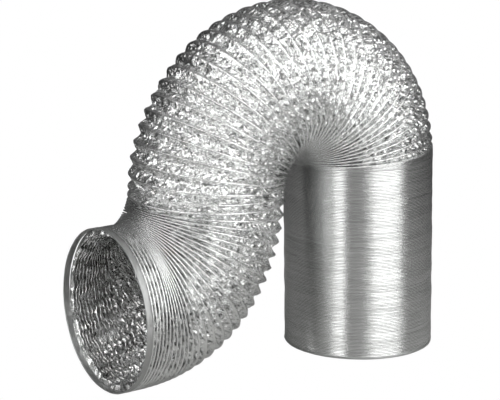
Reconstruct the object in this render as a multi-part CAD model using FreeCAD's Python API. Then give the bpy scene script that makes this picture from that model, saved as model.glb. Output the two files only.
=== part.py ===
import FreeCAD, Part

import math
import os

# Flexible aluminium air duct, nominal size 125 mm.
#
# The duct is a two-ply foil tube with one spring-steel wire coiled between the plies.
# It stands as a compressed stack, arches over its top, comes down as a leg, turns
# through an elbow and ends in a short compressed stub that lies on the same floor.
# All of it is built from turns of the wire, each with a crest of foil over it and a
# valley of foil between it and the next turn. A turn is a closed ring here.
#
# Millimetres and degrees. +Z is up, the origin is the centre of the lower end on the
# floor, and the duct arches towards -X, so its middle plane is y = 0.

# ---- Driving dimensions ----
BORE_RADIUS = 63.5          # clear radius at the lower end, for a 125 mm spigot
PLY = 0.1                   # thickness of one foil ply
PLY_CLEARANCE = 0.05        # free space between a ply and its neighbour
WIRE_DIAMETER = 0.7
WIRE_FACETS = 8             # sides of the wire's section
CLOSED_PITCH = 1.2          # distance from turn to turn where the duct is pushed together
CREST_HALF_WIDTH = 0.38     # half of the foil crest that covers the wire
SHALLOW_VALLEY = 0.3        # valley depth on the closed side of a bend
DEEP_VALLEY = 4.0           # valley depth on the open side of a bend
JOINT_GAP = 0.25            # free space between two neighbouring sections

BASE_BAND_LENGTH = 2.5
MOUTH_BAND_LENGTH = 5.5
BAND_THICKNESS = 1.1
MOUTH_FLARE = 2.6           # how much the radius grows along the elbow, towards the mouth

STACK_SECTIONS = 3
STACK_TURNS = 45            # turns in each section of the stack

ARCH_SECTIONS = 7
ARCH_ANGLE = 135.0          # bend of all the arch sections together
ARCH_TURNS = 3              # turns in each of them
ARCH_RADIUS = 75.5          # centre line

SHOULDER_SECTIONS = 2       # the gentler far end of the arch
SHOULDER_ANGLE = 43.0
SHOULDER_TURNS = 4
SHOULDER_RADIUS = 87.0

LEG_TURNS = 1

ELBOW_SECTIONS = 4          # the elbow turns back until the duct runs level
ELBOW_ANGLE = 88.0
ELBOW_TURNS = 5
ELBOW_RADIUS = 81.5

STUB_TURNS = 12

# ---- Worked-out dimensions ----
WIRE_RADIUS = BORE_RADIUS + PLY + PLY_CLEARANCE + WIRE_DIAMETER / 2
INNER_CREST_RADIUS = BORE_RADIUS + PLY
OUTER_CREST_RADIUS = WIRE_RADIUS + WIRE_DIAMETER / 2 + PLY_CLEARANCE + PLY
HALF_GAP = JOINT_GAP / 2
CROSSWAYS = FreeCAD.Vector(0, 1, 0)


# ---- The route: a ring plane is a centre and a heading ----
def heading_vector(heading):
    """The way the duct runs: heading 0 is up, 90 is towards -X and 180 is down."""
    angle = math.radians(heading)
    return FreeCAD.Vector(-math.sin(angle), 0, math.cos(angle))


def side_vector(heading):
    """The direction across the duct that the arch bends towards."""
    return heading_vector(heading + 90)


def plane_at(section, turns):
    """The ring plane a number of turns along a section, straight or round its fan axis."""
    centre, heading = section["start"]
    turn_angle = section["angle"] / section["turns"]
    if turn_angle == 0:
        return centre + heading_vector(heading) * (section["pitch"] * turns), heading
    radius = section["radius"] * math.copysign(1, turn_angle)
    fan_axis = centre + side_vector(heading) * radius
    new_heading = heading + turn_angle * turns
    return fan_axis - side_vector(new_heading) * radius, new_heading


def growth_at(section, turns):
    """How much wider than the stack the duct is, a number of turns along a section."""
    first, last = section["growth"]
    return first + (last - first) * turns / section["turns"]


def section_row(name, start, count, turns, growth=(0, 0), **shape):
    """A row of equal sections, each starting where the one before it ends."""
    row = []
    step = (growth[1] - growth[0]) / count
    for number in range(count):
        label = f"{name}_{number + 1}" if count > 1 else name
        widths = (growth[0] + step * number, growth[0] + step * (number + 1))
        section = {"name": label, "start": start, "turns": turns, "growth": widths, **shape}
        row.append(section)
        start = plane_at(section, turns)
    return row, start


def leg_length(leg_top):
    """The straight length that brings the rim of the mouth down to the floor."""
    centre, heading = leg_top
    elbow_drop = ELBOW_RADIUS * (1 - math.cos(math.radians(ELBOW_ANGLE)))
    mouth_height = BORE_RADIUS + MOUTH_FLARE + BAND_THICKNESS
    return (centre.z - elbow_drop - mouth_height) / math.cos(math.radians(180 - heading))


def lay_out_route():
    """All sections in order from the floor to the mouth."""
    start = (FreeCAD.Vector(0, 0, BASE_BAND_LENGTH), 0)
    stack, start = section_row("stack", start, STACK_SECTIONS, STACK_TURNS, angle=0, pitch=CLOSED_PITCH)
    arch, start = section_row("arch", start, ARCH_SECTIONS, ARCH_TURNS,
                              angle=ARCH_ANGLE / ARCH_SECTIONS, radius=ARCH_RADIUS)
    shoulder, start = section_row("shoulder", start, SHOULDER_SECTIONS, SHOULDER_TURNS,
                                  angle=SHOULDER_ANGLE / SHOULDER_SECTIONS, radius=SHOULDER_RADIUS)
    leg, start = section_row("leg", start, 1, LEG_TURNS, angle=0, pitch=leg_length(start) / LEG_TURNS)
    elbow, start = section_row("elbow", start, ELBOW_SECTIONS, ELBOW_TURNS, growth=(0, MOUTH_FLARE),
                               angle=-ELBOW_ANGLE / ELBOW_SECTIONS, radius=ELBOW_RADIUS)
    stub, start = section_row("stub", start, 1, STUB_TURNS, growth=(MOUTH_FLARE, MOUTH_FLARE),
                              angle=0, pitch=CLOSED_PITCH)
    return stack + arch + shoulder + leg + elbow + stub, start


# ---- Rings, wires and foils ----
def placement(plane, shift, offset):
    """The place of a ring parallel to a ring plane, moved along the duct and across it."""
    centre, heading = plane
    normal = heading_vector(heading)
    place = centre + normal * shift + side_vector(heading) * offset
    return FreeCAD.Placement(place, FreeCAD.Rotation(CROSSWAYS, FreeCAD.Vector(), normal, "ZXY"))


def ring(plane, shift, radius, offset):
    circle = Part.makeCircle(radius)
    circle.Placement = placement(plane, shift, offset)
    return Part.Wire([circle])


def wire_ring(plane, radius):
    """One closed turn of wire, with a section of flat sides."""
    corners = []
    for corner in range(WIRE_FACETS + 1):
        angle = 2 * math.pi * corner / WIRE_FACETS
        across = radius + WIRE_DIAMETER / 2 * math.cos(angle)
        corners.append(FreeCAD.Vector(across, 0, WIRE_DIAMETER / 2 * math.sin(angle)))
    section_face = Part.Face(Part.makePolygon(corners))
    turn = section_face.revolve(FreeCAD.Vector(), FreeCAD.Vector(0, 0, 1), 360)
    turn.Placement = placement(plane, 0, 0)
    return turn


def wire_turns(section):
    """One wire ring for each turn."""
    rings = []
    for turn in range(section["turns"]):
        radius = WIRE_RADIUS + growth_at(section, turn + 0.5)
        rings.append(wire_ring(plane_at(section, turn + 0.5), radius))
    return Part.makeCompound(rings)


def foil_stations(section, crest_radius, valley_drop):
    """Turn number, shift, radius and crossways offset of each ring of a pleated ply."""
    deep = DEEP_VALLEY
    shallow = SHALLOW_VALLEY if section["angle"] else DEEP_VALLEY
    valley_radius = OUTER_CREST_RADIUS - (deep + shallow) / 2 - valley_drop
    offset = math.copysign((deep - shallow) / 2, section["angle"])
    stations = [(0, HALF_GAP, valley_radius, offset)]
    for turn in range(section["turns"]):
        stations.append((turn + 0.5, -CREST_HALF_WIDTH, crest_radius, 0))
        stations.append((turn + 0.5, CREST_HALF_WIDTH, crest_radius, 0))
        stations.append((turn + 1, 0, valley_radius, offset))
    stations[-1] = (section["turns"], -HALF_GAP, valley_radius, offset)
    return stations


def pleated_ply(section, crest_radius, valley_drop):
    """A closed thin tube through the crest and valley rings, one ply thick."""
    outside = []
    inside = []
    for turns, shift, radius, offset in foil_stations(section, crest_radius, valley_drop):
        plane = plane_at(section, turns)
        width = radius + growth_at(section, turns)
        outside.append(ring(plane, shift, width, offset))
        inside.append(ring(plane, shift, width - PLY, offset))
    outer_body = Part.makeLoft(outside, True, True)
    inner_body = Part.makeLoft(inside, True, True)
    return outer_body.cut(inner_body)


def tube(plane, shift, length, inside_radius, thickness):
    """A plain round tube along the duct."""
    centre, heading = plane
    direction = heading_vector(heading)
    foot = centre + direction * shift
    outside = Part.makeCylinder(inside_radius + thickness, length, foot, direction)
    return outside.cut(Part.makeCylinder(inside_radius, length, foot, direction))


def closed_ply(section, crest_radius):
    """Where the duct is pushed together its folds are shut, and the ply is a plain tube."""
    length = section["pitch"] * section["turns"] - JOINT_GAP
    inside_radius = crest_radius + growth_at(section, 0) - PLY
    return tube(section["start"], HALF_GAP, length, inside_radius, PLY)


def ply(section, crest_radius, valley_drop):
    if section.get("pitch") == CLOSED_PITCH:
        return closed_ply(section, crest_radius)
    return pleated_ply(section, crest_radius, valley_drop)


def save(shape, node):
    shape.exportStep(f"parts/{node}.step")
    print(f"{node}: {len(shape.Solids)} solids, {shape.Volume:.1f} mm3, valid {shape.isValid()}")


# ---- Build and write every node ----
sections, mouth = lay_out_route()
for section in sections:
    name = section["name"]
    save(ply(section, OUTER_CREST_RADIUS, 0), f"{name}_outer_foil")
    save(ply(section, INNER_CREST_RADIUS, PLY + PLY_CLEARANCE), f"{name}_inner_foil")
    save(wire_turns(section), f"{name}_wire")
floor = (FreeCAD.Vector(), 0)
save(tube(floor, 0, BASE_BAND_LENGTH, BORE_RADIUS, BAND_THICKNESS), "base_band")
save(tube(mouth, 0, MOUTH_BAND_LENGTH, BORE_RADIUS + MOUTH_FLARE, BAND_THICKNESS), "mouth_band")
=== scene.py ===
import math

import bpy
import numpy as np
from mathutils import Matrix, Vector


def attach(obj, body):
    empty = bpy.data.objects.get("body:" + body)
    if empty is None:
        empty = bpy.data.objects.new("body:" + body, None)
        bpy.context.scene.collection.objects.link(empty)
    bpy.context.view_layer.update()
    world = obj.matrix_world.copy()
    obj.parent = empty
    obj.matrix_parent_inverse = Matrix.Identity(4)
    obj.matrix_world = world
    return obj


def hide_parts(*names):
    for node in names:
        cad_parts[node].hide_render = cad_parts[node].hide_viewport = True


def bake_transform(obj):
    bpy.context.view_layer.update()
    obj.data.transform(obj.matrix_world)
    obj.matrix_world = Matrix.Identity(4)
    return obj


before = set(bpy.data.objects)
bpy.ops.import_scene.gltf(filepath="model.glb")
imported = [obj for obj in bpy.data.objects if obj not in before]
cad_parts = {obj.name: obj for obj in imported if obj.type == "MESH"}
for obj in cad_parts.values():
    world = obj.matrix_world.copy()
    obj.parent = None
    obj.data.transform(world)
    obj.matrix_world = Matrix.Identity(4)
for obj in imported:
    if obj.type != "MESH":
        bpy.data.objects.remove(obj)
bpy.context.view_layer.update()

# Looks of the flexible foil duct. Everything here is worked out in millimetres and goes
# into Blender in metres. The wall is one long ribbon of foil: its two edges are ridges
# over the coiled wire, one turn apart, and it folds inward along a valley between them.
# A place on the duct is a turn count along the coil and an angle round it.

MM = 0.001
rng = np.random.default_rng(125)

# ---- Sizes shared with the CAD model ----
RIDGE_RADIUS = 64.5         # outside of the foil over the wire
BASE_HEIGHT = 2.5
HEM_LENGTH = 5.5
HEM_INSIDE = 66.1
HEM_THICKNESS = 1.1
MOUTH_FLARE = 2.6
CLOSED_PITCH = 1.2
STACK_LENGTH = 54.0         # one of three
ARCH_ANGLE = 135.0 / 7
ARCH_RADIUS = 75.5
SHOULDER_ANGLE = 43.0 / 2
SHOULDER_RADIUS = 87.0
ELBOW_ANGLE = 88.0 / 4
ELBOW_RADIUS = 81.5
STUB_LENGTH = 14.4
LEG_LENGTH = 13.557

# ---- The foil ----
BEAD_RADIUS = 0.55          # foil wrapped over the wire
PLEAT_SLANT = 8.4           # foil from a ridge to the valley
DEEPEST_FOLD = 6.0
WALL = 0.2                  # both plies together
BEAD_DEPTH = 0.95           # both plies and the wire between them


def arc(angle, radius):
    return math.radians(angle) * radius


# Each body of the CAD model, its length along the centre line and its bend in degrees
BODIES = [(f"stack_{n}", STACK_LENGTH, 0.0) for n in (1, 2, 3)]
BODIES += [(f"arch_{n}", arc(ARCH_ANGLE, ARCH_RADIUS), ARCH_ANGLE) for n in range(1, 8)]
BODIES += [(f"shoulder_{n}", arc(SHOULDER_ANGLE, SHOULDER_RADIUS), SHOULDER_ANGLE) for n in (1, 2)]
BODIES += [("leg", LEG_LENGTH, 0.0)]
BODIES += [(f"elbow_{n}", arc(ELBOW_ANGLE, ELBOW_RADIUS), -ELBOW_ANGLE) for n in range(1, 5)]
BODIES += [("stub", STUB_LENGTH, 0.0)]
NAMES = [body[0] for body in BODIES]
ENDS = np.concatenate([[0.0], np.cumsum([body[1] for body in BODIES])])
MIDDLES = (ENDS[:-1] + ENDS[1:]) / 2
BENDS = np.concatenate([[0.0], np.cumsum([body[2] for body in BODIES])])
ELBOW_START = ENDS[NAMES.index("elbow_1")]
ELBOW_END = ENDS[NAMES.index("stub")]

# ---- The centre line as a table by length ----
STEP = 0.1
MARGIN = 20.0
table_length = np.arange(-MARGIN, ENDS[-1] + MARGIN, STEP)
table_heading = np.radians(np.interp(table_length, ENDS, BENDS))
middle_heading = (table_heading[1:] + table_heading[:-1]) / 2
table_x = np.concatenate([[0.0], np.cumsum(-np.sin(middle_heading) * STEP)])
table_z = np.concatenate([[0.0], np.cumsum(np.cos(middle_heading) * STEP)])
table_x -= np.interp(0.0, table_length, table_x)
table_z += BASE_HEIGHT - np.interp(0.0, table_length, table_z)


def eased(value, knots, heights):
    """Smooth steps from knot to knot."""
    low = np.clip(np.searchsorted(knots, value, "right") - 1, 0, len(knots) - 2)
    part = np.clip((value - knots[low]) / (knots[low + 1] - knots[low]), 0, 1)
    return heights[low] + (heights[low + 1] - heights[low]) * part * part * (3 - 2 * part)


# How the standing duct leans a little to one side, by length
SWAY_AT = np.array([0.0, 170.0, 250.0, 340.0, 405.0, 440.0, 540.0])
SWAY = np.array([0.8, -1.6, -1.6, -0.4, -3.4, -4.5, 0.0])
table_x += eased(table_length, SWAY_AT, SWAY)

# ---- Where the turns lie: centre-line pitch by turn, scaled so that each run keeps its length ----
RUNS = [  # turn numbers, pitches at them, and the length that the run covers
    ([0, 128], [1.3, 1.3], 3 * STACK_LENGTH),
    ([128, 135.5, 136.5, 144, 146, 160, 168], [0.8, 0.8, 6.2, 6.3, 7.7, 7.7, 8.2],
     ENDS[NAMES.index("leg")] - 3 * STACK_LENGTH),
    ([168, 170], [6.8, 6.8], LEG_LENGTH),
    ([170, 183, 187, 197], [7.25, 7.25, 3.2, 3.2], ENDS[-1] - ELBOW_START),
]
LAST_TURN = 197


def lay_out_turns():
    turns = [np.array([-2.0])]
    lengths = [np.array([-2.0 * CLOSED_PITCH])]
    start = 0.0
    for knots, pitches, covered in RUNS:
        fine = np.linspace(knots[0], knots[-1], int((knots[-1] - knots[0]) * 40) + 1)
        pitch = np.interp(fine, knots, pitches)
        run = np.concatenate([[0.0], np.cumsum((pitch[1:] + pitch[:-1]) / 2 * np.diff(fine))])
        turns.append(fine[:-1])
        lengths.append(start + run[:-1] * covered / run[-1])
        start += covered
    turns.append(np.array([LAST_TURN, LAST_TURN + 2.0]))
    lengths.append(np.array([start, start + 4.8]))
    return np.concatenate(turns), np.concatenate(lengths)


turn_table, turn_length = lay_out_turns()


def length_at(turn):
    return np.interp(turn, turn_table, turn_length)


def turn_at(length):
    return np.interp(length, turn_length, turn_table)


def widening(length):
    return np.interp(length, [ELBOW_START, ELBOW_END], [0.0, MOUTH_FLARE])


def smooth_noise(spacing, strength):
    """A function of turn with smooth random ups and downs."""
    knots = np.arange(-4, LAST_TURN + 6, spacing)
    heights = rng.uniform(-strength, strength, len(knots))

    def read(turn):
        place = np.clip((turn - knots[0]) / spacing, 0, len(knots) - 1.001)
        low = place.astype(int)
        part = place - low
        part = part * part * (3 - 2 * part)
        return heights[low] * (1 - part) + heights[low + 1] * part
    return read


turn_radius = smooth_noise(0.83, 0.05)
slow_x = smooth_noise(9.0, 0.30)
slow_y = smooth_noise(8.0, 0.30)


def fold_lean(turn, angle):
    """How far the folds lean along the duct, much alike from turn to turn."""
    return (1.1 * np.sin(11 * angle + 0.35 * turn) + 0.8 * np.sin(23 * angle - 0.5 * turn + 1.3 * np.sin(0.3 * turn))
            + 0.55 * np.sin(41 * angle + 0.8 * turn))


def surface(length, angle, radius):
    """Points at a length along the centre line, an angle round it and a radius from it."""
    x = np.interp(length, table_length, table_x)
    z = np.interp(length, table_length, table_z)
    heading = np.interp(length, table_length, table_heading)
    inward = radius * np.cos(angle)
    return np.stack([x - np.cos(heading) * inward, radius * np.sin(angle), z - np.sin(heading) * inward], -1)


def ridge_radius(turn, angle):
    """Radius over the wire, a little uneven from turn to turn."""
    wobble = turn_radius(turn) + slow_x(turn) * np.cos(angle) + slow_y(turn) * np.sin(angle)
    fade = np.clip(np.minimum(turn / 4, (LAST_TURN - turn) / 4), 0, 1)
    return RIDGE_RADIUS + widening(length_at(turn)) + wobble * fade


def facets(rows, columns, row_size, column_size):
    """Random heights on a coarse lattice, read at fine rows and columns, with a crease at each lattice line."""
    across = rows / row_size + 0.35 * np.sin(columns * 0.9 / column_size + 1.7 * np.sin(columns * 0.13))
    along = columns / column_size + 0.4 * np.sin(rows * 1.1 / row_size + columns * 0.21)
    across -= across.min()
    along -= along.min()
    heights = rng.uniform(-1, 1, (int(across.max()) + 2, int(along.max()) + 2))
    a, b = across.astype(int), along.astype(int)
    fa, fb = across - a, along - b
    upper = fa + fb > 1
    first = heights[a, b] + fa * (heights[a + 1, b] - heights[a, b]) + fb * (heights[a, b + 1] - heights[a, b])
    ga, gb = 1 - fa, 1 - fb
    far = heights[a + 1, b + 1]
    second = far + ga * (heights[a, b + 1] - far) + gb * (heights[a + 1, b] - far)
    return np.where(upper, second, first)


class Ribbon:
    """The wall between two turn numbers as a grid: rows across the folds, columns round the duct."""

    def __init__(self, first_turn, last_turn, wall_rows, columns, crumple):
        self.rows = 2 * (wall_rows + 2)         # rows in one turn
        self.columns = columns
        self.first = int(math.floor(first_turn)) - 2
        turns = int(math.ceil(last_turn)) + 2 - self.first
        strip = self.first * columns + np.arange(turns * columns + 1)
        at = strip / columns                     # turn number at the ribbon's lower edge
        angle = 2 * math.pi * at
        lower = surface(length_at(at), angle, ridge_radius(at, angle))
        upper = surface(length_at(at + 1), angle, ridge_radius(at + 1, angle))
        pitch = np.linalg.norm(upper - lower, axis=1)
        openness = np.clip((pitch - 1.6) / 5.0, 0, 1)
        depth = np.sqrt(np.maximum(PLEAT_SLANT ** 2 - (pitch / 2) ** 2, 9.0))
        depth = np.minimum(depth, DEEPEST_FOLD)
        size = 2 * math.pi * RIDGE_RADIUS / columns
        along = np.arange(len(strip)) * size
        valley = 0.5 + 0.10 * openness * facets(np.zeros(len(strip)), along, 1.0, 5.0)
        depth = depth + (0.35 + 0.45 * openness) * facets(np.zeros(len(strip)), along, 1.0, 4.0)
        flattest = 0.36 + 0.44 * crumple
        roundness = flattest + (1 - flattest) * np.clip((pitch - 1.6) / 1.5, 0, 1)
        lean = fold_lean(at, angle) * np.clip((pitch - 1.2) / 1.2, 0, 1)
        half = self.rows // 2
        share = []
        drop = []
        inner_share = []
        inner_drop = []
        window = []
        slant = []
        for row in range(self.rows):
            rising = row > half
            step = self.rows - row if rising else row
            reach = pitch * ((1 - valley) if rising else valley)
            slope = depth / reach
            edge = np.minimum(BEAD_RADIUS * slope / np.sqrt(1 + slope ** 2), 0.8 * reach)
            edge_drop = BEAD_RADIUS - np.sqrt(BEAD_RADIUS ** 2 - np.minimum(edge, BEAD_RADIUS * 0.995) ** 2)
            edge_drop = edge_drop * roundness
            if step <= 2:
                x = edge * (0, 0.6, 1)[step]
                fall = BEAD_RADIUS - np.sqrt(np.maximum(BEAD_RADIUS ** 2 - x ** 2, 0))
                fall = np.minimum(fall * roundness, edge_drop)
                inner_x = x * np.maximum(0.2, 1 - WALL / np.maximum(edge, 0.05))
                inner_fall = np.full_like(x, BEAD_DEPTH)
                window.append(np.zeros_like(x))
                slant.append(np.zeros_like(x))
            else:
                part = (step - 2) / wall_rows
                x = edge + (reach - edge) * part
                fall = edge_drop + (depth - edge_drop) * part
                inner_x, inner_fall = x, fall
                window.append(np.full_like(x, min(1.0, part * wall_rows / 1.5)))
                slant.append(np.hypot(reach, depth) * part)
            share.append(1 - x / pitch if rising else x / pitch)
            drop.append(fall)
            inner_share.append(1 - inner_x / pitch if rising else inner_x / pitch)
            inner_drop.append(inner_fall)
        share = np.array(share)
        drop = np.array(drop)
        window = np.array(window)
        total = 2 * np.hypot(pitch / 2, depth)
        slant = np.array(slant)
        slant[half + 1:] = total - slant[half + 1:]
        self.bead = np.array([min(row, self.rows - row) <= 2 for row in range(self.rows)])
        length = length_at(at + share) + lean * (drop / DEEPEST_FOLD) ** 2
        radius_low = ridge_radius(at, angle)
        radius_high = ridge_radius(at + 1, angle)
        radius = radius_low * (1 - share) + radius_high * share
        points = surface(length, angle, radius - drop)
        grid = self.to_grid(points)
        normal = self.normals(grid)
        outward = self.to_grid(surface(length, angle, radius + 1) - surface(length, angle, radius))
        if (normal * outward)[self.rows * 2].sum() < 0:
            normal = -normal
        self.turn = self.to_grid(at + share)
        column_run = np.broadcast_to(along, slant.shape)
        rough = facets(slant, column_run, 4.2, 2.9) * 0.80 + facets(slant + 40, column_run + 7, 2.0, 1.7) * 0.42
        amount = crumple * openness ** 0.7 * (0.75 + 0.25 * np.clip(pitch / 12, 0, 1))
        bump = self.to_grid(rough * window * (amount + 0.04))
        self.crease = self.to_grid(0.05 + window * (0.10 + 0.82 * crumple * openness ** 0.7))
        inner_points = self.to_grid(surface(length_at(at + np.array(inner_share)), angle, radius - np.array(inner_drop)))
        self.outer = grid + normal * bump[..., None]
        bead_rows = np.tile(self.bead, grid.shape[0] // self.rows + 1)[:grid.shape[0]]
        inner = self.outer - normal * WALL
        inner[bead_rows] = inner_points[bead_rows]
        self.inner = inner
        place = self.to_grid(np.stack([np.cos(angle) * RIDGE_RADIUS + 0 * share, np.sin(angle) * RIDGE_RADIUS + 0 * share,
                                       (at + share) * 14.0], -1))
        self.place = place
        self.length = self.to_grid(length)

    def to_grid(self, strips):
        """From ribbon rows by strip position to grid rows by column: row number is turn times rows plus ribbon row."""
        tail = strips.shape[2:]
        turns = (strips.shape[1] - 1) // self.columns
        body = strips[:, :turns * self.columns].reshape((self.rows, turns, self.columns) + tail)
        return np.moveaxis(body, 1, 0).reshape((turns * self.rows, self.columns) + tail)

    def normals(self, grid):
        ahead = np.concatenate([grid[:, 1:], np.roll(grid[:, :1], -self.rows, 0)], 1)
        behind = np.concatenate([np.roll(grid[:, -1:], self.rows, 0), grid[:, :-1]], 1)
        around = ahead - behind
        across = np.roll(grid, -1, 0) - np.roll(grid, 1, 0)
        normal = np.cross(around, across)
        return normal / np.maximum(np.linalg.norm(normal, axis=-1, keepdims=True), 1e-9)

    def cut(self, start, end):
        """Vertices and faces of a closed piece of wall between two turn numbers."""
        rows, columns = self.turn.shape
        first = (self.turn <= start + 1e-9).sum(0) - 1
        last = (self.turn < end - 1e-9).sum(0)
        layers = [self.outer.copy(), self.inner.copy()]
        fields = [self.place.copy(), self.length.copy(), self.crease.copy()]
        column = np.arange(columns)
        for limit, low in ((start, first), (end, last - 1)):
            part = (limit - self.turn[low, column]) / (self.turn[low + 1, column] - self.turn[low, column])
            target = low if limit == start else low + 1
            for array in layers + fields:
                share = part.reshape(part.shape + (1,) * (array.ndim - 2))
                array[target, column] = array[low, column] * (1 - share) + array[low + 1, column] * share
        number = np.arange(rows * columns).reshape(rows, columns)
        clipped = np.clip(np.arange(rows)[:, None], first, last) * columns + column
        a = clipped[:-1]
        d = clipped[1:]
        turn_on = np.concatenate([clipped[self.rows:, :1], np.repeat(clipped[-1:, :1], self.rows, 0)], 0)
        right = np.concatenate([clipped[:, 1:], turn_on], 1)
        b = right[:-1]
        c = right[1:]
        quads = np.stack([a, b, c, d], -1).reshape(-1, 4)
        same_left = quads[:, 0] == quads[:, 3]
        same_right = quads[:, 1] == quads[:, 2]
        whole = quads[~same_left & ~same_right]
        left = quads[same_left & ~same_right][:, :3]
        right_closed = quads[~same_left & same_right][:, [0, 1, 3]]
        triangles = np.concatenate([left, right_closed])
        used, numbers = np.unique(np.concatenate([whole.ravel(), triangles.ravel()]), return_inverse=True)
        whole = numbers[:whole.size].reshape(-1, 4)
        triangles = numbers[whole.size:].reshape(-1, 3)
        back = np.full(number.size, -1)
        back[used] = np.arange(len(used))
        count = len(used)
        quads = [whole, whole[:, ::-1] + count]
        for rim, flip in ((first, False), (last, True)):
            loop = back[rim * columns + column]
            following = np.roll(loop, -1)
            strip = np.stack([loop, loop + count, following + count, following], -1)
            quads.append(strip[:, ::-1] if flip else strip)
        points = np.concatenate([layer.reshape(-1, 3)[used] for layer in layers])
        place = np.tile(fields[0].reshape(-1, 3)[used], (2, 1))
        length = np.tile(fields[1].reshape(-1)[used], 2)
        crease = np.tile(fields[2].reshape(-1)[used], 2)
        triangles = np.concatenate([triangles, triangles[:, ::-1] + count])
        return points, np.concatenate(quads), triangles, place, length, crease


def make_mesh(name, points, quads, triangles):
    mesh = bpy.data.meshes.new(name)
    mesh.vertices.add(len(points))
    mesh.vertices.foreach_set("co", (points * MM).astype(np.float32).ravel())
    corners = np.concatenate([quads.ravel(), triangles.ravel()]).astype(np.int32)
    mesh.loops.add(len(corners))
    mesh.loops.foreach_set("vertex_index", corners)
    starts = np.concatenate([np.arange(len(quads)) * 4, quads.size + np.arange(len(triangles)) * 3])
    mesh.polygons.add(len(starts))
    mesh.polygons.foreach_set("loop_start", starts.astype(np.int32))
    mesh.update(calc_edges=True)
    mesh.polygons.foreach_set("use_smooth", np.ones(len(starts), bool))
    mesh.update()
    thing = bpy.data.objects.new(name, mesh)
    bpy.context.collection.objects.link(thing)
    return thing


def add_place(thing, place, crease):
    attribute = thing.data.attributes.new("coil_place", "FLOAT_VECTOR", "POINT")
    attribute.data.foreach_set("vector", place.astype(np.float32).ravel())
    attribute = thing.data.attributes.new("crease", "FLOAT", "POINT")
    attribute.data.foreach_set("value", crease.astype(np.float32))


# ---- Materials ----
def new_material(name):
    material = bpy.data.materials.new(name)
    material.use_nodes = True
    nodes = material.node_tree.nodes
    links = material.node_tree.links
    shader = nodes["Principled BSDF"]
    shader.inputs["Metallic"].default_value = 1.0
    return material, nodes, links, shader


def place_node(nodes):
    node = nodes.new("ShaderNodeAttribute")
    node.attribute_name = "coil_place"
    return node


def scaled(nodes, links, place, scale):
    node = nodes.new("ShaderNodeMapping")
    node.inputs["Scale"].default_value = scale
    links.new(place.outputs["Vector"], node.inputs["Vector"])
    return node.outputs["Vector"]


def noise(nodes, links, vector, scale, detail=3.0, rough=0.6):
    node = nodes.new("ShaderNodeTexNoise")
    node.inputs["Scale"].default_value = scale
    node.inputs["Detail"].default_value = detail
    node.inputs["Roughness"].default_value = rough
    links.new(vector, node.inputs["Vector"])
    return node.outputs["Fac"]


def ramp(nodes, links, value, low, high, low_out, high_out):
    node = nodes.new("ShaderNodeMapRange")
    node.inputs["From Min"].default_value = low
    node.inputs["From Max"].default_value = high
    node.inputs["To Min"].default_value = low_out
    node.inputs["To Max"].default_value = high_out
    links.new(value, node.inputs["Value"])
    return node.outputs["Result"]


def grey_mix(nodes, links, factor, dark, light):
    node = nodes.new("ShaderNodeMix")
    node.data_type = "RGBA"
    node.inputs["A"].default_value = (*dark, 1)
    node.inputs["B"].default_value = (*light, 1)
    links.new(factor, node.inputs["Factor"])
    return node.outputs["Result"]


def bump(nodes, links, height, distance, strength, before=None):
    node = nodes.new("ShaderNodeBump")
    node.inputs["Distance"].default_value = distance
    node.inputs["Strength"].default_value = strength
    links.new(height, node.inputs["Height"])
    if before is not None:
        links.new(before, node.inputs["Normal"])
    return node.outputs["Normal"]


def creased(nodes, links, place, normal, cells):
    """Tilt the normal by a random amount in each small facet, as crumpled foil does."""
    crease = nodes.new("ShaderNodeAttribute")
    crease.attribute_name = "crease"
    for scale, tilt in cells:
        facet = nodes.new("ShaderNodeTexVoronoi")
        facet.inputs["Scale"].default_value = scale
        links.new(place.outputs["Vector"], facet.inputs["Vector"])
        centred = nodes.new("ShaderNodeVectorMath")
        centred.operation = "SUBTRACT"
        centred.inputs[1].default_value = (0.5, 0.5, 0.5)
        links.new(facet.outputs["Color"], centred.inputs[0])
        strength = nodes.new("ShaderNodeMath")
        strength.operation = "MULTIPLY"
        strength.inputs[1].default_value = tilt
        links.new(crease.outputs["Fac"], strength.inputs[0])
        turned = nodes.new("ShaderNodeVectorMath")
        turned.operation = "SCALE"
        links.new(centred.outputs[0], turned.inputs[0])
        links.new(strength.outputs[0], turned.inputs["Scale"])
        total = nodes.new("ShaderNodeVectorMath")
        total.operation = "ADD"
        links.new(normal, total.inputs[0])
        links.new(turned.outputs[0], total.inputs[1])
        normal = total.outputs[0]
    unit = nodes.new("ShaderNodeVectorMath")
    unit.operation = "NORMALIZE"
    links.new(normal, unit.inputs[0])
    return unit.outputs[0]


def foil_material():
    """Bright foil with fine creases and a slightly uneven sheen."""
    material, nodes, links, shader = new_material("crinkled_foil")
    place = place_node(nodes)
    patches = noise(nodes, links, place.outputs["Vector"], 0.16, 3.0)
    tone = grey_mix(nodes, links, patches, (0.80, 0.805, 0.80), (0.90, 0.905, 0.90))
    links.new(tone, shader.inputs["Base Color"])
    links.new(ramp(nodes, links, patches, 0.3, 0.7, 0.10, 0.20), shader.inputs["Roughness"])
    grain = noise(nodes, links, place.outputs["Vector"], 0.9, 2.0, 0.7)
    smooth = bump(nodes, links, grain, 0.0007, 0.5)
    links.new(creased(nodes, links, place, smooth, ((0.42, 0.80), (0.95, 0.55))), shader.inputs["Normal"])
    return material


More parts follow.
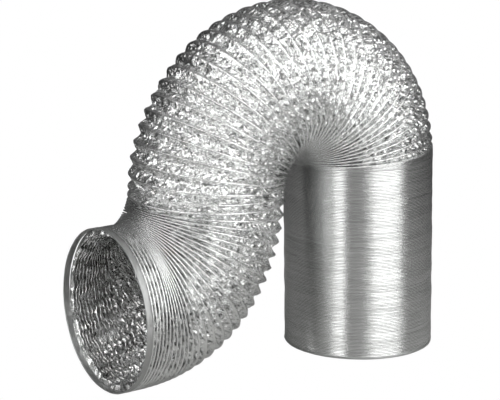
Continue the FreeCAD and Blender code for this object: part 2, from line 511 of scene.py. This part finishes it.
def closed_material():
    """The closed stack: foil drawn tight over the turns, streaked round the duct."""
    material, nodes, links, shader = new_material("closed_turns_foil")
    place = place_node(nodes)
    streaks = noise(nodes, links, scaled(nodes, links, place, (0.008, 0.008, 0.075)), 1.0, 2.0, 0.7)
    spread = ramp(nodes, links, streaks, 0.3, 0.7, 0.0, 1.0)
    links.new(grey_mix(nodes, links, spread, (0.68, 0.685, 0.68), (0.82, 0.825, 0.82)), shader.inputs["Base Color"])
    links.new(ramp(nodes, links, streaks, 0.3, 0.7, 0.22, 0.15), shader.inputs["Roughness"])
    grain = noise(nodes, links, scaled(nodes, links, place, (0.03, 0.03, 0.5)), 1.0, 2.0)
    links.new(bump(nodes, links, grain, 0.0003, 0.2), shader.inputs["Normal"])
    return material


def hem_material():
    material, nodes, links, shader = new_material("folded_hem_foil")
    place = place_node(nodes)
    streaks = noise(nodes, links, scaled(nodes, links, place, (0.06, 0.06, 0.35)), 1.0, 3.0)
    links.new(grey_mix(nodes, links, streaks, (0.36, 0.365, 0.36), (0.50, 0.505, 0.50)), shader.inputs["Base Color"])
    links.new(ramp(nodes, links, streaks, 0.3, 0.7, 0.40, 0.52), shader.inputs["Roughness"])
    smooth = bump(nodes, links, streaks, 0.0006, 0.35)
    links.new(creased(nodes, links, place, smooth, ((0.25, 0.8), (0.6, 0.7))), shader.inputs["Normal"])
    return material


foil = foil_material()
closed = closed_material()
hem = hem_material()

# ---- The wall, in one piece for each joint ----
CLOSED_END = 135            # the last shut turn, a little way into the arch
CHANGE_LENGTH = length_at(CLOSED_END)
stack_ribbon = Ribbon(0, CLOSED_END, 2, 180, 0.0)
open_ribbon = Ribbon(CLOSED_END, LAST_TURN, 6, 400, 1.0)


def wall_piece(name, ribbon, start, end, material, nodes_replaced):
    """One piece of wall between two lengths along the centre line, standing in for the CAD parts that it hides."""
    points, quads, triangles, place, length, crease = ribbon.cut(turn_at(start), turn_at(end))
    piece = make_mesh(name, points, quads, triangles)
    add_place(piece, place, crease)
    piece.data.materials.append(material)
    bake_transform(piece)
    if nodes_replaced:
        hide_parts(*nodes_replaced)
    return piece


def nodes_of(body):
    return [f"{body}_{part}" for part in ("outer_foil", "inner_foil", "wire")]


for number in range(len(NAMES) - 1):
    low, high = NAMES[number], NAMES[number + 1]
    start = 0.0 if number == 0 else MIDDLES[number]
    end = ENDS[-1] if number == len(NAMES) - 2 else MIDDLES[number + 1]
    stood_for = nodes_of(low) + (nodes_of(high) if number == len(NAMES) - 2 else [])
    if low == "stack_3":
        wall_piece(f"foil_wall_{low}", stack_ribbon, start, CHANGE_LENGTH, closed, stood_for)
        wall_piece(f"foil_wall_{low}_{high}", open_ribbon, CHANGE_LENGTH, end, foil, [])
    elif low.startswith("stack"):
        wall_piece(f"foil_wall_{low}_{high}", stack_ribbon, start, end, closed, stood_for)
    else:
        wall_piece(f"foil_wall_{low}_{high}", open_ribbon, start, end, foil, stood_for)


# ---- Hems ----
def lathe(name, profile, place_of, body, node):
    """A ring round the duct from a closed profile of (length, radius) points."""
    columns = 240
    angle = np.arange(columns) * 2 * math.pi / columns
    points = []
    place = []
    for along, radius in profile:
        uneven = 0.12 * np.sin(3 * angle + along) + 0.10 * np.sin(11 * angle + 2 * along) + 0.05 * np.sin(37 * angle)
        points.append(surface(place_of + along + 0 * angle, angle, radius + uneven))
        place.append(np.stack([np.cos(angle) * radius, np.sin(angle) * radius, along * 8 + 0 * angle], -1))
    count = len(profile)
    number = np.arange(count * columns).reshape(count, columns)
    below = np.roll(number, -1, 0)
    quads = np.stack([number, np.roll(number, -1, 1), np.roll(below, -1, 1), below], -1).reshape(-1, 4)
    ring = make_mesh(name, np.concatenate(points), quads, np.zeros((0, 3), int))
    add_place(ring, np.concatenate(place), np.full(count * columns, 0.3))
    ring.data.materials.append(hem)
    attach(ring, body)
    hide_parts(node)
    return ring


def hem_profile(length, inside, thickness):
    """A flattened fold with round edges."""
    corner = thickness / 2
    outline = []
    for turn in range(7):
        swing = math.pi * turn / 6
        outline.append((length - corner + corner * math.sin(swing), inside + corner + corner * math.cos(swing)))
    for turn in range(7):
        swing = math.pi * turn / 6
        outline.append((corner - corner * math.sin(swing), inside + corner - corner * math.cos(swing)))
    return outline


lathe("mouth_hem", hem_profile(HEM_LENGTH, HEM_INSIDE, HEM_THICKNESS), ENDS[-1], "stub", "mouth_band")
lathe("base_hem", hem_profile(BASE_HEIGHT, 63.5, 1.1), -BASE_HEIGHT, "stack_1", "base_band")


# ---- Floor, light and camera ----
def plain(name, colour, roughness):
    material = bpy.data.materials.new(name)
    material.use_nodes = True
    shader = material.node_tree.nodes["Principled BSDF"]
    shader.inputs["Base Color"].default_value = (*colour, 1)
    shader.inputs["Roughness"].default_value = roughness
    return material


def seen_white(tree, shader, socket, brightness):
    """What is seen directly is plain white, and the shader lights and shows in the metal."""
    path = tree.nodes.new("ShaderNodeLightPath")
    white = tree.nodes.new("ShaderNodeEmission" if socket.name == "Surface" and shader.type != "BACKGROUND" else "ShaderNodeBackground")
    white.inputs["Color"].default_value = (1, 1, 1, 1)
    white.inputs["Strength"].default_value = brightness
    mix = tree.nodes.new("ShaderNodeMixShader")
    tree.links.new(path.outputs["Is Camera Ray"], mix.inputs[0])
    tree.links.new(shader.outputs[0], mix.inputs[1])
    tree.links.new(white.outputs[0], mix.inputs[2])
    tree.links.new(mix.outputs[0], socket)


def floor_sheet():
    """A floor sheet whose colour is a painted pool of light: paler round the object, darker further off."""
    size = 12.0
    mesh = bpy.data.meshes.new("floor")
    mesh.from_pydata([(-size, -size, 0), (size, -size, 0), (size, size, 0), (-size, size, 0)], [], [(0, 1, 2, 3)])
    thing = bpy.data.objects.new("floor", mesh)
    thing.location.z = -0.0005
    bpy.context.collection.objects.link(thing)
    material = plain("floor_white", (0.30, 0.30, 0.30), 0.9)
    tree = material.node_tree
    shader = tree.nodes["Principled BSDF"]
    where = tree.nodes.new("ShaderNodeTexCoord")
    reach = tree.nodes.new("ShaderNodeVectorMath")
    reach.operation = "LENGTH"
    tree.links.new(where.outputs["Object"], reach.inputs[0])
    # Painted pool of light: the floor's colour is paler within 0.35 m of the object and dark beyond 0.70 m, where the
    # studio light falls off
    painted_light_pool = ramp(tree.nodes, tree.links, reach.outputs["Value"], 0.35, 0.70, 1.0, 0.0)
    colour = grey_mix(tree.nodes, tree.links, painted_light_pool, (0.10, 0.10, 0.10), (0.50, 0.50, 0.49))
    tree.links.new(colour, shader.inputs["Base Color"])
    seen_white(tree, shader, tree.nodes["Material Output"].inputs["Surface"], 1.0)
    mesh.materials.append(material)
    return thing


floor_sheet()

TARGET = Vector((-0.105, 0.0138, 0.1358))
CAMERA = Vector((-0.9438, -1.2078, 0.4834))
camera_data = bpy.data.cameras.new("camera")
camera_data.lens = 130.2
camera_data.sensor_width = 36
camera_data.clip_end = 50
camera = bpy.data.objects.new("camera", camera_data)
camera.location = CAMERA
camera.rotation_euler = (TARGET - CAMERA).to_track_quat("-Z", "Y").to_euler()
bpy.context.collection.objects.link(camera)
bpy.context.scene.camera = camera

world = bpy.data.worlds.new("studio")
bpy.context.scene.world = world
world.use_nodes = True
background = world.node_tree.nodes["Background"]
background.inputs["Strength"].default_value = 1.0
sky = world.node_tree.nodes.new("ShaderNodeTexCoord")
height = world.node_tree.nodes.new("ShaderNodeSeparateXYZ")
world.node_tree.links.new(sky.outputs["Generated"], height.inputs[0])
rise = ramp(world.node_tree.nodes, world.node_tree.links, height.outputs["Z"], 0.0, 0.9, 0.0, 1.0)
tone = grey_mix(world.node_tree.nodes, world.node_tree.links, rise, (0.075, 0.075, 0.075), (0.20, 0.20, 0.20))
world.node_tree.links.new(tone, background.inputs["Color"])
seen_white(world.node_tree, background, world.node_tree.nodes["World Output"].inputs["Surface"], 1.0)


def soft_box(name, across, up, distance, width, height, power):
    """A soft box round the object: across is degrees to the right of the camera's side, up is degrees above level."""
    level = (CAMERA - TARGET)
    base = math.atan2(level.y, level.x) - math.radians(-across)
    lift = math.radians(up)
    offset = Vector((math.cos(base) * math.cos(lift), math.sin(base) * math.cos(lift), math.sin(lift)))
    data = bpy.data.lights.new(name, "AREA")
    data.shape = "RECTANGLE"
    data.size = width
    data.size_y = height
    data.energy = power
    light = bpy.data.objects.new(name, data)
    light.location = TARGET + offset * distance
    light.rotation_euler = (-offset).to_track_quat("-Z", "Y").to_euler()
    light.visible_camera = False
    bpy.context.collection.objects.link(light)
    return light


soft_box("soft_left", -31, 22, 1.4, 0.52, 2.2, 10.5)
soft_box("soft_right", 46, 22, 1.4, 1.25, 2.2, 25)
soft_box("soft_front", 4, 12, 1.5, 0.60, 1.2, 0.5)
soft_box("soft_top", 180, 78, 1.6, 2.0, 1.2, 1.6)
soft_box("soft_mouth", -72, 8, 1.4, 0.5, 0.9, 4.0)

bpy.context.scene.view_settings.view_transform = "Standard"
